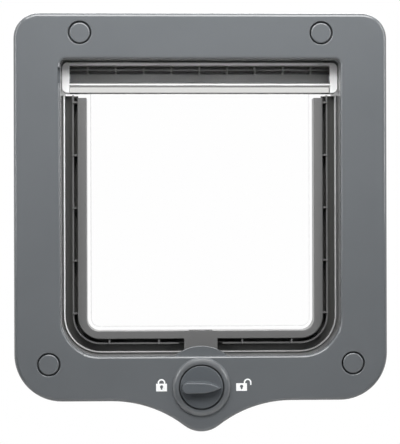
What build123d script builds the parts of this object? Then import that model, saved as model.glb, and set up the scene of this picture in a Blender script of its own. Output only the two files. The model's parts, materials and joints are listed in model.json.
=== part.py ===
from build123d import *
import math
import os

# Two-way cat flap with a clear swinging flap and a lock worked by a knob.
# Millimetres. Seen from the room, X runs to the right and Z up; Y runs rearwards through the door.
# The origin is the middle of the passage, on the door face that the front frame rests on.
# Sketch planes face the room, so a negative extrusion runs rearwards.

# Passage: the clear opening of the front frame
passage_width = 148.0
passage_height = 157.0
passage_bottom_radius = 20.6
passage_top_radius = 3.0
smallest_radius = 0.4

# Front frame: rails round the passage and the chin that carries the lock
side_rail = 24.5
top_rail = 24.1
bottom_rail = 23.6
frame_top_radius = 13.3
frame_bottom_radius = 25.0
chin_half_width = 47.6
chin_sweep_radius = 63.0
chin_tip_radius = 14.8
front_depth = 9.5
face_wall = 2.2
rim_wall = 2.4
frame_edge_radius = 2.0
lip_radius = 1.2

# Collar behind the lip, and the duct of the flap surround that seats in it
collar_wall = 1.9
collar_back = 9.4
duct_wall = 1.0
duct_fit = 0.1
duct_front = -2.5
duct_back = 24.0

# Rear frame
door_thickness = 26.0
rear_depth = 8.0
sleeve_front = 10.0
sleeve_wall = 1.9
sleeve_fit = 0.4
sleeve_step = 0.5

# Fixing screws, their seats and their caps
cap_top_inset = 10.3
cap_top_rise = 13.6
cap_bottom_outset = 6.3
cap_bottom_drop = 4.0
cap_radius = 5.35
cap_fit = 0.1
cap_wall = 1.2
cap_edge_radius = 0.7
cap_groove = 0.7
cap_groove_depth = 3.0
cap_groove_edge = 0.4
screw_floor = 2.5
screw_radius = 1.9
screw_clearance = 0.4
screw_pilot_clearance = 0.05
screw_head_radius = 3.8
screw_head_height = 2.5
screw_grip = 4.0
pilot_spare = 0.6
boss_wall = 1.8
rear_boss_wall = 3.0

# Flap surround: widths of its steps from the passage wall inwards, and their depths
shoulder_width = 0.7
rim_width = 0.8
trench_width = 4.1
fin_wall = 0.8
slot_width = 2.0
ledge_side = 13.15
ledge_bottom = 12.6
ledge_corner_radius = 6.5
shoulder_front = 5.8
rim_front = 5.0
rim_nose_radius = 0.3
trench_floor = 8.0
fin_front = 2.7
ledge_front = 1.2
ledge_edge = 0.3
ledge_back = 10.0
slot_floor_wall = 1.0
rib_wall = 0.9
rib_front = 2.0
side_rib_pitch = 28.2
side_ribs = 5
bottom_rib_inner = 22.3
bottom_rib_outer = 48.8
arm_clearance = 0.7
ledge_end_drop = 1.6

# Cross rail behind the flap's header: distances down from the top of the passage
rail_clearance = 0.9
rail_rim = 1.4
rail_upper_groove = 1.7
rail_fin = 0.7
rail_lower_groove = 2.0
rail_band = 4.8
rail_back_wall = 1.2
rail_rib_pitch = 15.2
rail_rib_pairs = 4

# Flap and its hinge
hinge_drop = 8.9
hinge_depth = 5.5
header_clearance = 0.3
header_half_depth = 3.2
header_wall = 1.1
header_foot = 4.1
cheek_wall = 3.6
cheek_clearance = 0.3
flap_thickness = 2.2
flap_side_gap = 1.9
flap_bottom_gap = 2.0
flap_corner_radius = 4.6
flap_edge_chamfer = 0.8
pin_radius = 2.0
pin_seat_fit = 0.02
pin_running_fit = 0.08
pin_head_radius = 3.2
pin_head_height = 1.4
pin_tail = 0.6
pin_notch_height = 8.3
pin_notch_width = 1.2
pin_notch_depth = 3.0

# Lock knob, in a raised ring on the chin
knob_drop = 16.1
knob_radius = 11.3
knob_gap = 0.75
knob_edge_radius = 0.4
knob_ring_flat = 0.7
knob_ring_base_radius = 15.5
knob_ring_height = 2.0
knob_floor_wall = 1.4
knob_floor_clearance = 0.2
knob_below_crest = 0.3
knob_shaft_radius = 4.0
knob_shaft_fit = 0.06
grip_height = 5.0
grip_half_width = 3.3
grip_tail = 10.8
grip_tip = 10.8
grip_shoulder = 0.8
grip_draft = 7.0
grip_edge_radius = 0.5

# Cam, turned by the knob
cam_clearance = 0.2
cam_thickness = 3.7
cam_radius = 12.4
cam_start_radius = 4.9
knob_turn = 180.0
bolt_travel = 5.5
groove_half_width = 1.2
groove_depth = 1.3
groove_spans = 8
spigot_side = 4.4
spigot_fit = 0.05
cam_web = 0.8
knob_screw_radius = 1.2
knob_screw_clearance = 0.1
knob_screw_head_radius = 2.2
knob_screw_head_height = 1.2
knob_screw_head_gap = 0.2
knob_screw_grip = 2.6

# Bolt, and the cover that guides it
bolt_clearance = 0.2
bolt_plate = 1.5
bolt_half_width = 6.0
bolt_guide_gap = 0.25
bolt_pin_radius = 1.0
bolt_pin_end_gap = 0.2
bolt_tail = 10.7
bridge_height = 2.4
bridge_gap = 2.8
prong_wall = 1.4
prong_gap = 0.4
prong_rest_drop = 0.3
bolt_slot_gap = 0.2
tab_half_width = 8.9
fin_tab_gap = 2.8
arch_radius = 21.2
arch_wall = 1.5
arch_edge_radius = 0.4
arch_gap = 0.3
cover_wall = 1.2
cover_rail = 1.75
cover_half_width = 22.0
cover_rise = 7.6
cover_fall = 8.4
cover_screw_spacing = 36.0
cover_screw_radius = 1.2
cover_screw_clearance = 0.15
cover_screw_head_radius = 2.2
cover_screw_length = 4.4
cover_boss_radius = 3.2

# Places worked out from the sizes above
passage_half = passage_width / 2
passage_top = passage_height / 2
passage_bottom = -passage_height / 2
frame_width = passage_width + 2 * side_rail
frame_top = passage_top + top_rail
frame_bottom = passage_bottom - bottom_rail
chin_slope = math.degrees(math.asin(chin_half_width / (chin_sweep_radius + chin_tip_radius)))
face_front = -front_depth
face_back = face_front + face_wall
rear_face = door_thickness + rear_depth
collar_inset = -(duct_wall + duct_fit)
sleeve_inset = -(duct_wall + sleeve_fit)

hinge_z = passage_top - hinge_drop
header_radius = hinge_drop - header_clearance
header_rise = math.sqrt(header_radius**2 - header_half_depth**2)
header_half = passage_half - cheek_clearance
flap_front = hinge_depth - flap_thickness / 2
flap_back = hinge_depth + flap_thickness / 2
flap_half = passage_half - ledge_side - flap_side_gap
flap_bottom = passage_bottom + ledge_bottom + flap_bottom_gap
arms_top = hinge_z - header_radius - arm_clearance
rail_front = hinge_depth + header_radius + rail_clearance

trench_inset = shoulder_width + rim_width
fin_inset = trench_inset + trench_width
slot_inset = fin_inset + fin_wall
ledge_inset = slot_inset + slot_width
ledge_top = passage_bottom + ledge_bottom

knob_z = passage_bottom - knob_drop
knob_recess_radius = knob_radius + knob_gap
knob_crest = face_front - knob_ring_height
knob_floor = face_back - knob_floor_wall
knob_front = knob_crest + knob_below_crest
knob_back = knob_floor - knob_floor_clearance
cam_front = face_back + cam_clearance
cam_back = cam_front + cam_thickness
bolt_front = cam_back + bolt_clearance
bolt_back = bolt_front + bolt_plate
cover_front = bolt_back + bolt_clearance
cover_back = cover_front + cover_wall
arch_back = bolt_front - arch_gap
front_prong = flap_front - prong_gap - prong_wall
rear_prong = flap_back + prong_gap
prongs_back = rear_prong + prong_wall
prong_top = ledge_top - prong_rest_drop
bridge_top = passage_bottom - duct_wall - duct_fit - collar_wall - bridge_gap
slot_half_width = bolt_half_width + bolt_guide_gap

cap_top_x = passage_half - cap_top_inset
cap_top_z = passage_top + cap_top_rise
cap_bottom_x = passage_half + cap_bottom_outset
cap_bottom_z = passage_bottom - cap_bottom_drop
screw_seat = -screw_floor
cap_bore = cap_radius + cap_fit
cap_groove_radius = cap_bore + cap_groove
boss_radius = cap_groove_radius + boss_wall
screw_places = {
    "top_left": (-cap_top_x, cap_top_z),
    "top_right": (cap_top_x, cap_top_z),
    "bottom_left": (-cap_bottom_x, cap_bottom_z),
    "bottom_right": (cap_bottom_x, cap_bottom_z),
}
cover_screw_places = [(-cover_screw_spacing / 2, knob_z), (cover_screw_spacing / 2, knob_z)]
knob_axis = Axis((0, 0, knob_z), (0, 1, 0))


def room_plane(depth, place=(0, 0)):
    """Sketch plane that faces the room at this depth, with its origin at a place (x, z)."""
    return Plane(origin=(place[0], depth, place[1]), x_dir=(1, 0, 0), z_dir=(0, -1, 0))


def passage_outline(inset):
    """Passage outline moved inwards by inset, with its bottom corners concentric."""
    with BuildSketch() as outline:
        Rectangle(passage_width - 2 * inset, passage_height - 2 * inset)
        fillet(outline.vertices().group_by(Axis.Y)[0], radius=passage_bottom_radius - inset)
        top_radius = max(passage_top_radius - inset, smallest_radius)
        fillet(outline.vertices().group_by(Axis.Y)[-1], radius=top_radius)
    return outline.sketch


def passage_ring(outer_inset, inner_inset):
    """Band between two outlines of the passage."""
    with BuildSketch() as band:
        add(passage_outline(outer_inset))
        add(passage_outline(inner_inset), mode=Mode.SUBTRACT)
    return band.sketch


def ledge_opening():
    """Opening inside the ledge, which the flap swings through; it runs up past the arms."""
    with BuildSketch() as outline:
        with Locations((0, (ledge_top + passage_top) / 2)):
            Rectangle(passage_width - 2 * ledge_side, passage_top - ledge_top)
        fillet(outline.vertices().group_by(Axis.Y)[0], radius=ledge_corner_radius)
    return outline.sketch


def flange_outline(inset=0.0):
    """Rounded outline that both frames share, moved inwards by inset."""
    with BuildSketch() as outline:
        with Locations((0, (frame_top + frame_bottom) / 2)):
            Rectangle(frame_width - 2 * inset, frame_top - frame_bottom - 2 * inset)
        fillet(outline.vertices().group_by(Axis.Y)[0], radius=frame_bottom_radius - inset)
        fillet(outline.vertices().group_by(Axis.Y)[-1], radius=frame_top_radius - inset)
    return outline.sketch


def chin_outline(inset=0.0):
    """Flange outline with the chin: two hollow sweeps that meet a round tip."""
    with BuildSketch() as outline:
        add(flange_outline(inset))
        with BuildLine():
            left_sweep = JernArc(
                (-chin_half_width, frame_bottom + inset), (1, 0), chin_sweep_radius + inset, -chin_slope
            )
            tip = JernArc(left_sweep @ 1, left_sweep % 1, chin_tip_radius - inset, 2 * chin_slope)
            right_sweep = JernArc(tip @ 1, tip % 1, chin_sweep_radius + inset, -chin_slope)
            Line(right_sweep @ 1, left_sweep @ 0)
        make_face()
    return outline.sketch


def groove_point(turn, shift):
    """Point of the cam's spiral for a turn of the knob, moved outwards by shift."""
    radius = cam_start_radius + bolt_travel * turn / knob_turn + shift
    angle = math.radians(90 - turn)
    return (radius * math.cos(angle), radius * math.sin(angle))


def export(piece, name):
    """Name a finished piece and write it to its own file."""
    piece.part.label = name
    export_step(piece.part, f"parts/{name}.step")


os.makedirs("parts", exist_ok=True)

# Front frame: hollow-backed flange, collar, screw bosses, knob ring and lock housing
with BuildPart() as front_frame:
    with BuildSketch(room_plane(face_front)):
        add(chin_outline())
    extrude(amount=-front_depth)
    fillet(front_frame.edges().group_by(Axis.Y)[0], radius=frame_edge_radius)
    with BuildSketch(room_plane(face_back)):
        add(chin_outline(rim_wall))
    extrude(amount=face_back, mode=Mode.SUBTRACT)
    with BuildSketch(room_plane(face_back)):
        add(passage_outline(collar_inset - collar_wall))
    extrude(amount=face_back - collar_back)
    with BuildSketch(room_plane(face_front)):
        add(passage_outline(0))
    extrude(amount=face_front - duct_front, mode=Mode.SUBTRACT)
    with BuildSketch(room_plane(duct_front)):
        add(passage_outline(collar_inset))
    extrude(amount=duct_front - collar_back, mode=Mode.SUBTRACT)
    lip = front_frame.faces().sort_by(Axis.Y)[0].inner_wires()[0]
    fillet(lip.edges(), radius=lip_radius)
    # Bosses behind the face, and the stepped seats of the screws and caps
    with BuildSketch(room_plane(face_back)):
        with Locations(*screw_places.values()):
            Circle(boss_radius)
        add(passage_outline(collar_inset), mode=Mode.SUBTRACT)
    extrude(amount=face_back)
    with BuildSketch(room_plane(face_front)):
        with Locations(*screw_places.values()):
            Circle(cap_groove_radius)
    extrude(amount=-cap_groove_depth, mode=Mode.SUBTRACT)
    groove_rims = front_frame.edges().filter_by(GeomType.CIRCLE)
    groove_rims = groove_rims.filter_by(lambda edge: math.isclose(edge.radius, cap_groove_radius))
    fillet(groove_rims.group_by(Axis.Y)[0], radius=cap_groove_edge)
    with BuildSketch(room_plane(face_front)):
        with Locations(*screw_places.values()):
            Circle(cap_bore)
    extrude(amount=face_front - screw_seat, mode=Mode.SUBTRACT)
    with BuildSketch(room_plane(screw_seat)):
        with Locations(*screw_places.values()):
            Circle(screw_radius + screw_clearance)
    extrude(amount=screw_seat, mode=Mode.SUBTRACT)
    # Raised ring round the knob, with the knob's round recess and its shaft hole
    with BuildSketch(Plane.XY.offset(knob_z)):
        with BuildLine():
            crest_end = (knob_recess_radius + knob_ring_flat, knob_crest)
            dome = TangentArc(crest_end, (knob_ring_base_radius, face_front), tangent=(1, 0))
            Polyline(
                dome @ 1,
                (knob_ring_base_radius, face_back),
                (0, face_back),
                (0, knob_crest),
                dome @ 0,
            )
        make_face()
    revolve(axis=knob_axis)
    with BuildSketch(room_plane(knob_crest, (0, knob_z))):
        Circle(knob_recess_radius)
    extrude(amount=knob_crest - knob_floor, mode=Mode.SUBTRACT)
    with BuildSketch(room_plane(knob_floor, (0, knob_z))):
        Circle(knob_shaft_radius + knob_shaft_fit)
    extrude(amount=knob_floor - face_back, mode=Mode.SUBTRACT)
    # Bosses for the lock cover
    with BuildSketch(room_plane(face_back)):
        with Locations(*cover_screw_places):
            Circle(cover_boss_radius)
            Circle(cover_screw_radius + screw_pilot_clearance, mode=Mode.SUBTRACT)
    extrude(amount=face_back - cover_front)
    # Round front of the lock housing, above the lip, and the bolt's way through the collar
    with BuildSketch(room_plane(arch_back)):
        with Locations((0, knob_z)):
            Circle(arch_radius)
        with Locations((0, passage_bottom)):
            Rectangle(2 * arch_radius, 2 * arch_radius, align=(Align.CENTER, Align.MIN), mode=Mode.INTERSECT)
    extrude(amount=arch_wall)
    arch_rim = front_frame.edges().filter_by(GeomType.CIRCLE)
    arch_rim = arch_rim.filter_by(lambda edge: math.isclose(edge.radius, arch_radius)).group_by(Axis.Y)[0]
    fillet(arch_rim, radius=arch_edge_radius)
    with BuildSketch(room_plane(arch_back)):
        with Locations((0, bridge_top)):
            Rectangle(2 * slot_half_width, passage_bottom - bridge_top, align=(Align.CENTER, Align.MIN))
    extrude(amount=arch_back - prongs_back - bolt_slot_gap, mode=Mode.SUBTRACT)
    # Seats of the hinge pins, and the notch beside the left one
    with Locations(Plane(origin=(0, hinge_depth, hinge_z), z_dir=(1, 0, 0))):
        Cylinder(pin_radius + pin_seat_fit, frame_width, mode=Mode.SUBTRACT)
    with BuildSketch(room_plane(face_front)):
        with Locations((-passage_half, hinge_z)):
            Rectangle(2 * pin_notch_width, pin_notch_height)
    extrude(amount=-pin_notch_depth, mode=Mode.SUBTRACT)
export(front_frame, "front_frame")

# Flap surround: duct, stepped and ribbed channel round the flap, and cross rail behind the header
with BuildPart() as flap_surround:
    for outer_inset, inner_inset, front in (
        (0, shoulder_width, shoulder_front),
        (shoulder_width, trench_inset, rim_front),
        (trench_inset, fin_inset, trench_floor),
    ):
        with BuildSketch(room_plane(front)):
            add(passage_ring(outer_inset, inner_inset))
        extrude(amount=front - ledge_back)
    fillet(flap_surround.edges().group_by(Axis.Y)[0], radius=rim_nose_radius)
    with BuildSketch(room_plane(fin_front)):
        add(passage_ring(fin_inset, slot_inset))
        with Locations((0, passage_bottom)):
            Rectangle(2 * (tab_half_width + fin_tab_gap), ledge_bottom, mode=Mode.SUBTRACT)
    extrude(amount=fin_front - ledge_back)
    with BuildSketch(room_plane(ledge_back - slot_floor_wall)):
        add(passage_ring(fin_inset, ledge_inset))
    extrude(amount=-slot_floor_wall)
    with BuildSketch(room_plane(ledge_front)):
        add(passage_outline(ledge_inset))
        add(ledge_opening(), mode=Mode.SUBTRACT)
    extrude(amount=ledge_front - ledge_back)
    chamfer(flap_surround.edges().group_by(Axis.Y)[0], length=ledge_edge)
    # Ribs across the slot
    with BuildSketch(room_plane(rib_front)):
        rib_span = slot_width + 2 * fin_wall
        rib_inset = fin_inset + rib_span / 2
        for side in (-1, 1):
            with Locations((side * (passage_half - rib_inset), 0)):
                with GridLocations(0, side_rib_pitch, 1, side_ribs):
                    Rectangle(rib_span, rib_wall)
            with Locations(
                (side * bottom_rib_inner, passage_bottom + rib_inset),
                (side * bottom_rib_outer, passage_bottom + rib_inset),
            ):
                Rectangle(rib_wall, rib_span)
    extrude(amount=rib_front - ledge_back)
    # Tab that the bolt slides in
    with BuildSketch(room_plane(ledge_front)):
        with Locations((0, passage_bottom)):
            Rectangle(2 * tab_half_width, ledge_bottom, align=(Align.CENTER, Align.MIN))
    extrude(amount=ledge_front - ledge_back)
    # The channel stops below the header, and the ledge a little lower
    with BuildSketch(room_plane(ledge_front)):
        with Locations((0, arms_top)):
            Rectangle(passage_width, passage_height, align=(Align.CENTER, Align.MIN))
        with Locations((0, arms_top - ledge_end_drop)):
            ledge_width = passage_width - 2 * ledge_inset
            Rectangle(ledge_width, passage_height, align=(Align.CENTER, Align.MIN))
    extrude(amount=ledge_front - ledge_back, mode=Mode.SUBTRACT)
    # Duct
    with BuildSketch(room_plane(duct_front)):
        add(passage_ring(-duct_wall, 0))
    extrude(amount=duct_front - duct_back)
    # Cross rail: rim, upper groove, fin, lower groove and band, with ribs in both grooves
    rail_depth = duct_back - rail_front
    rail_groove_depth = rail_depth - rail_back_wall
    rail_groove_height = rail_upper_groove + rail_fin + rail_lower_groove
    rail_height = rail_rim + rail_groove_height + rail_band
    with BuildSketch(room_plane(rail_front)):
        add(passage_outline(0))
        with Locations((0, passage_top)):
            Rectangle(passage_width, rail_height, align=(Align.CENTER, Align.MAX), mode=Mode.INTERSECT)
    extrude(amount=-rail_depth)
    upper_groove_z = passage_top - rail_rim
    lower_groove_z = upper_groove_z - rail_upper_groove - rail_fin
    with BuildSketch(room_plane(rail_front)):
        with Locations((0, upper_groove_z)):
            Rectangle(passage_width, rail_upper_groove, align=(Align.CENTER, Align.MAX))
        with Locations((0, lower_groove_z)):
            Rectangle(passage_width, rail_lower_groove, align=(Align.CENTER, Align.MAX))
        with Locations((0, upper_groove_z - rail_groove_height / 2)):
            with GridLocations(rail_rib_pitch, 0, 2 * rail_rib_pairs + 1, 1):
                Rectangle(rib_wall, 2 * rail_groove_height, mode=Mode.SUBTRACT)
    extrude(amount=-rail_groove_depth, mode=Mode.SUBTRACT)
    # Way for the bolt: prongs in the tab, bridge under it
    with BuildSketch(room_plane(front_prong - bolt_slot_gap)):
        with Locations((0, passage_bottom - duct_wall)):
            Rectangle(2 * slot_half_width, ledge_bottom + duct_wall, align=(Align.CENTER, Align.MIN))
    extrude(amount=front_prong - prongs_back - 2 * bolt_slot_gap, mode=Mode.SUBTRACT)
    with BuildSketch(room_plane(duct_front)):
        with Locations((0, passage_bottom - duct_wall)):
            Rectangle(2 * slot_half_width, duct_wall, align=(Align.CENTER, Align.MIN))
    extrude(amount=duct_front - front_prong, mode=Mode.SUBTRACT)
    with Locations(Plane(origin=(0, hinge_depth, hinge_z), z_dir=(1, 0, 0))):
        Cylinder(pin_radius + pin_seat_fit, frame_width, mode=Mode.SUBTRACT)
export(flap_surround, "flap_surround")

# Rear frame: plain flange for the other side of the door, with the sleeve that lines the hole
with BuildPart() as rear_frame:
    with BuildSketch(room_plane(door_thickness)):
        add(flange_outline())
    extrude(amount=-rear_depth)
    fillet(rear_frame.edges().group_by(Axis.Y)[-1], radius=frame_edge_radius)
    with BuildSketch(room_plane(door_thickness)):
        add(flange_outline(rim_wall))
    extrude(amount=face_wall - rear_depth, mode=Mode.SUBTRACT)
    with BuildSketch(room_plane(rear_face - face_wall)):
        add(passage_outline(sleeve_inset - sleeve_wall))
    extrude(amount=rear_face - face_wall - sleeve_front)
    with BuildSketch(room_plane(door_thickness)):
        with Locations(*screw_places.values()):
            Circle(screw_radius + rear_boss_wall)
    extrude(amount=face_wall - rear_depth)
    with BuildSketch(room_plane(sleeve_front)):
        add(passage_outline(sleeve_inset))
    extrude(amount=sleeve_front - duct_back - sleeve_step, mode=Mode.SUBTRACT)
    with BuildSketch(room_plane(sleeve_front)):
        add(passage_outline(0))
    extrude(amount=sleeve_front - rear_face, mode=Mode.SUBTRACT)
    rear_lip = rear_frame.faces().sort_by(Axis.Y)[-1].inner_wires()[0]
    fillet(rear_lip.edges(), radius=lip_radius)
    with BuildSketch(room_plane(door_thickness)):
        with Locations(*screw_places.values()):
            Circle(screw_radius + screw_pilot_clearance)
    extrude(amount=-screw_grip - pilot_spare, mode=Mode.SUBTRACT)
export(rear_frame, "rear_frame")

# Flap: clear panel under a flat-fronted header, open at the rear, with a cheek at each end
with BuildPart() as flap:
    with BuildSketch(room_plane(flap_front)) as panel:
        with Locations((0, hinge_z)):
            Rectangle(2 * flap_half, hinge_z - flap_bottom, align=(Align.CENTER, Align.MAX))
        fillet(panel.vertices().group_by(Axis.Y)[0], radius=flap_corner_radius)
    extrude(amount=-flap_thickness)
    chamfer(flap.edges().group_by(Axis.Y)[0] + flap.edges().group_by(Axis.Y)[-1], length=flap_edge_chamfer)
    with BuildSketch(Plane.YZ.offset(-header_half)):
        with Locations((hinge_depth, hinge_z)):
            Circle(header_radius)
    extrude(amount=2 * header_half)
    header_rims = flap.edges().filter_by(GeomType.CIRCLE).group_by(Axis.X)
    fillet(header_rims[0] + header_rims[-1], radius=passage_top_radius - cheek_clearance)
    # The header keeps the middle of the round, so that it turns inside the same circle
    with BuildSketch(Plane.YZ.offset(-header_half)):
        for side in (-1, 1):
            with Locations((hinge_depth + side * (header_half_depth + header_radius), hinge_z)):
                Rectangle(2 * header_radius, 2 * header_radius)
    extrude(amount=2 * header_half, mode=Mode.SUBTRACT)
    with BuildSketch(room_plane(hinge_depth - header_half_depth + header_wall)):
        with Locations((0, hinge_z + header_rise - header_wall)):
            hollow_height = 2 * header_rise - header_wall - header_foot
            Rectangle(2 * (header_half - cheek_wall), hollow_height, align=(Align.CENTER, Align.MAX))
    extrude(amount=header_wall - 2 * header_half_depth, mode=Mode.SUBTRACT)
    with Locations(Plane(origin=(0, hinge_depth, hinge_z), z_dir=(1, 0, 0))):
        Cylinder(pin_radius + pin_running_fit, 2 * header_half, mode=Mode.SUBTRACT)
export(flap, "flap")

# Hinge pins, pushed in from outside the collar
pin_inner_end = header_half - cheek_wall - pin_tail
pin_outer_end = passage_half - collar_inset + collar_wall
for side, name in ((-1, "hinge_pin_left"), (1, "hinge_pin_right")):
    with BuildPart() as hinge_pin:
        with BuildSketch(Plane(origin=(side * pin_inner_end, hinge_depth, hinge_z), z_dir=(side, 0, 0))):
            Circle(pin_radius)
        extrude(amount=pin_outer_end - pin_inner_end)
        with BuildSketch(Plane(origin=(side * pin_outer_end, hinge_depth, hinge_z), z_dir=(side, 0, 0))):
            Circle(pin_head_radius)
        extrude(amount=pin_head_height)
    export(hinge_pin, name)

# Fixing screws and their caps
for place_name, place in screw_places.items():
    with BuildPart() as fixing_screw:
        with BuildSketch(room_plane(screw_seat, place)):
            Circle(screw_head_radius)
        extrude(amount=screw_head_height)
        with BuildSketch(room_plane(screw_seat, place)):
            Circle(screw_radius)
        extrude(amount=screw_seat - door_thickness - screw_grip)
    export(fixing_screw, f"fixing_screw_{place_name}")
    with BuildPart() as screw_cap:
        with BuildSketch(room_plane(face_front, place)):
            Circle(cap_radius)
        extrude(amount=face_front - screw_seat)
        fillet(screw_cap.edges().group_by(Axis.Y)[0], radius=cap_edge_radius)
        with BuildSketch(room_plane(face_front + cap_wall, place)):
            Circle(cap_radius - cap_wall)
        extrude(amount=face_front + cap_wall - screw_seat, mode=Mode.SUBTRACT)
    export(screw_cap, f"screw_cap_{place_name}")

# Knob: disc, drop-shaped grip, shaft and square spigot
spigot_back = cam_back - knob_screw_head_height - knob_screw_head_gap - cam_web
with BuildPart() as lock_knob:
    with BuildSketch(room_plane(knob_front, (0, knob_z))):
        Circle(knob_radius)
    extrude(amount=knob_front - knob_back)
    fillet(lock_knob.edges().group_by(Axis.Y)[0], radius=knob_edge_radius)
    with BuildSketch(room_plane(knob_back, (0, knob_z))):
        Circle(knob_shaft_radius)
    extrude(amount=knob_back - cam_front)
    with BuildSketch(room_plane(cam_front, (0, knob_z))):
        Rectangle(spigot_side, spigot_side)
    extrude(amount=cam_front - spigot_back)
    with BuildSketch(room_plane(knob_front, (0, knob_z))):
        with BuildLine():
            tail_start = grip_half_width - grip_tail
            tail_top = (tail_start, grip_half_width)
            tail = ThreePointArc(tail_top, (-grip_tail, 0), (tail_start, -grip_half_width))
            lower = Line(tail @ 1, (-grip_shoulder, -grip_half_width))
            lower_taper = TangentArc(lower @ 1, (grip_tip, 0), tangent=lower % 1)
            upper = Line(tail_top, (-grip_shoulder, grip_half_width))
            TangentArc(upper @ 1, lower_taper @ 1, tangent=upper % 1)
        make_face()
    extrude(amount=grip_height, taper=grip_draft)
    fillet(lock_knob.edges().group_by(Axis.Y)[0], radius=grip_edge_radius)
    with BuildSketch(room_plane(spigot_back, (0, knob_z))):
        Circle(knob_screw_radius + screw_pilot_clearance)
    extrude(amount=knob_screw_grip, mode=Mode.SUBTRACT)
export(lock_knob, "lock_knob")

# Cam: disc on the knob's spigot, with the spiral groove that lifts the bolt
with BuildPart() as lock_cam:
    with BuildSketch(room_plane(cam_front, (0, knob_z))):
        Circle(cam_radius)
    extrude(amount=-cam_thickness)
    with BuildSketch(room_plane(cam_front, (0, knob_z))):
        Rectangle(spigot_side + 2 * spigot_fit, spigot_side + 2 * spigot_fit)
    extrude(amount=cam_front - spigot_back, mode=Mode.SUBTRACT)
    with BuildSketch(room_plane(spigot_back, (0, knob_z))):
        Circle(knob_screw_radius + knob_screw_clearance)
    extrude(amount=-cam_web, mode=Mode.SUBTRACT)
    with BuildSketch(room_plane(spigot_back + cam_web, (0, knob_z))):
        Circle(knob_screw_head_radius + knob_screw_clearance)
    extrude(amount=spigot_back + cam_web - cam_back, mode=Mode.SUBTRACT)
    with BuildSketch(room_plane(cam_back, (0, knob_z))):
        turns = [knob_turn * step / groove_spans for step in range(groove_spans + 1)]
        with BuildLine():
            outer_edge = Spline([groove_point(turn, groove_half_width) for turn in turns])
            inner_edge = Spline([groove_point(turn, -groove_half_width) for turn in turns])
            Line(outer_edge @ 0, inner_edge @ 0)
            Line(outer_edge @ 1, inner_edge @ 1)
        make_face()
        with Locations(groove_point(0, 0), groove_point(knob_turn, 0)):
            Circle(groove_half_width)
    extrude(amount=groove_depth, mode=Mode.SUBTRACT)
export(lock_cam, "lock_cam")

with BuildPart() as knob_screw:
    with BuildSketch(room_plane(spigot_back + cam_web, (0, knob_z))):
        Circle(knob_screw_head_radius)
    extrude(amount=-knob_screw_head_height)
    with BuildSketch(room_plane(spigot_back + cam_web, (0, knob_z))):
        Circle(knob_screw_radius)
    extrude(amount=cam_web + knob_screw_grip)
export(knob_screw, "knob_screw")

# Bolt: plate behind the cam, bridge to the rear, and two prongs that rise beside the flap
with BuildPart() as lock_bolt:
    with BuildSketch(room_plane(bolt_front, (0, bridge_top))):
        Rectangle(2 * bolt_half_width, bridge_height + bolt_tail, align=(Align.CENTER, Align.MAX))
    extrude(amount=-bolt_plate)
    with BuildSketch(room_plane(bolt_front, (0, bridge_top))):
        Rectangle(2 * bolt_half_width, bridge_height, align=(Align.CENTER, Align.MAX))
    extrude(amount=bolt_front - prongs_back)
    for prong_front in (front_prong, rear_prong):
        with BuildSketch(room_plane(prong_front, (0, bridge_top))):
            Rectangle(2 * bolt_half_width, prong_top - bridge_top, align=(Align.CENTER, Align.MIN))
        extrude(amount=-prong_wall)
    with BuildSketch(room_plane(bolt_front, (0, knob_z + cam_start_radius))):
        Circle(bolt_pin_radius)
    extrude(amount=bolt_clearance + groove_depth - bolt_pin_end_gap)
export(lock_bolt, "lock_bolt")

# Cover over the bolt, with a rail on each side of it
with BuildPart() as lock_cover:
    with BuildSketch(room_plane(cover_front, (0, knob_z))):
        with Locations((0, (cover_rise - cover_fall) / 2)):
            Rectangle(2 * cover_half_width, cover_rise + cover_fall)
    extrude(amount=-cover_wall)
    with BuildSketch(room_plane(cover_front, (0, knob_z))):
        with Locations((0, (cover_rise - cover_fall) / 2)):
            with GridLocations(2 * slot_half_width + cover_rail, 0, 2, 1):
                Rectangle(cover_rail, cover_rise + cover_fall)
    extrude(amount=cover_front - bolt_front)
    with Locations(*[Plane(origin=(x, cover_back, z), z_dir=(0, 1, 0)) for x, z in cover_screw_places]):
        CounterSinkHole(
            radius=cover_screw_radius + cover_screw_clearance,
            counter_sink_radius=cover_screw_head_radius + cover_screw_clearance,
            depth=cover_wall,
        )
export(lock_cover, "lock_cover")

for side, place in zip(("left", "right"), cover_screw_places):
    with BuildPart() as cover_screw:
        head_height = cover_screw_head_radius - cover_screw_radius
        with BuildSketch(Plane.XY.offset(place[1])):
            with BuildLine():
                Polyline(
                    (place[0], cover_back),
                    (place[0] + cover_screw_head_radius, cover_back),
                    (place[0] + cover_screw_radius, cover_back - head_height),
                    (place[0] + cover_screw_radius, cover_back - cover_screw_length),
                    (place[0], cover_back - cover_screw_length),
                    close=True,
                )
            make_face()
        revolve(axis=Axis((place[0], 0, place[1]), (0, 1, 0)))
    export(cover_screw, f"lock_cover_screw_{side}")
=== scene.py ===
"""Looks of a two-way cat flap: a grey moulded frame, a clear swinging flap and a turning lock.

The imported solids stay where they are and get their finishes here. New pieces are the printed padlock
signs and the screws with their threads and cross recesses. Sizes are millimetres until they reach a mesh,
apart from those of the studio, which are metres.
"""
import json
import logging
import math
from dataclasses import dataclass, replace
from enum import Enum
from typing import Any

import bmesh
import bpy
import numpy as np
from mathutils import Matrix, Vector


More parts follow.
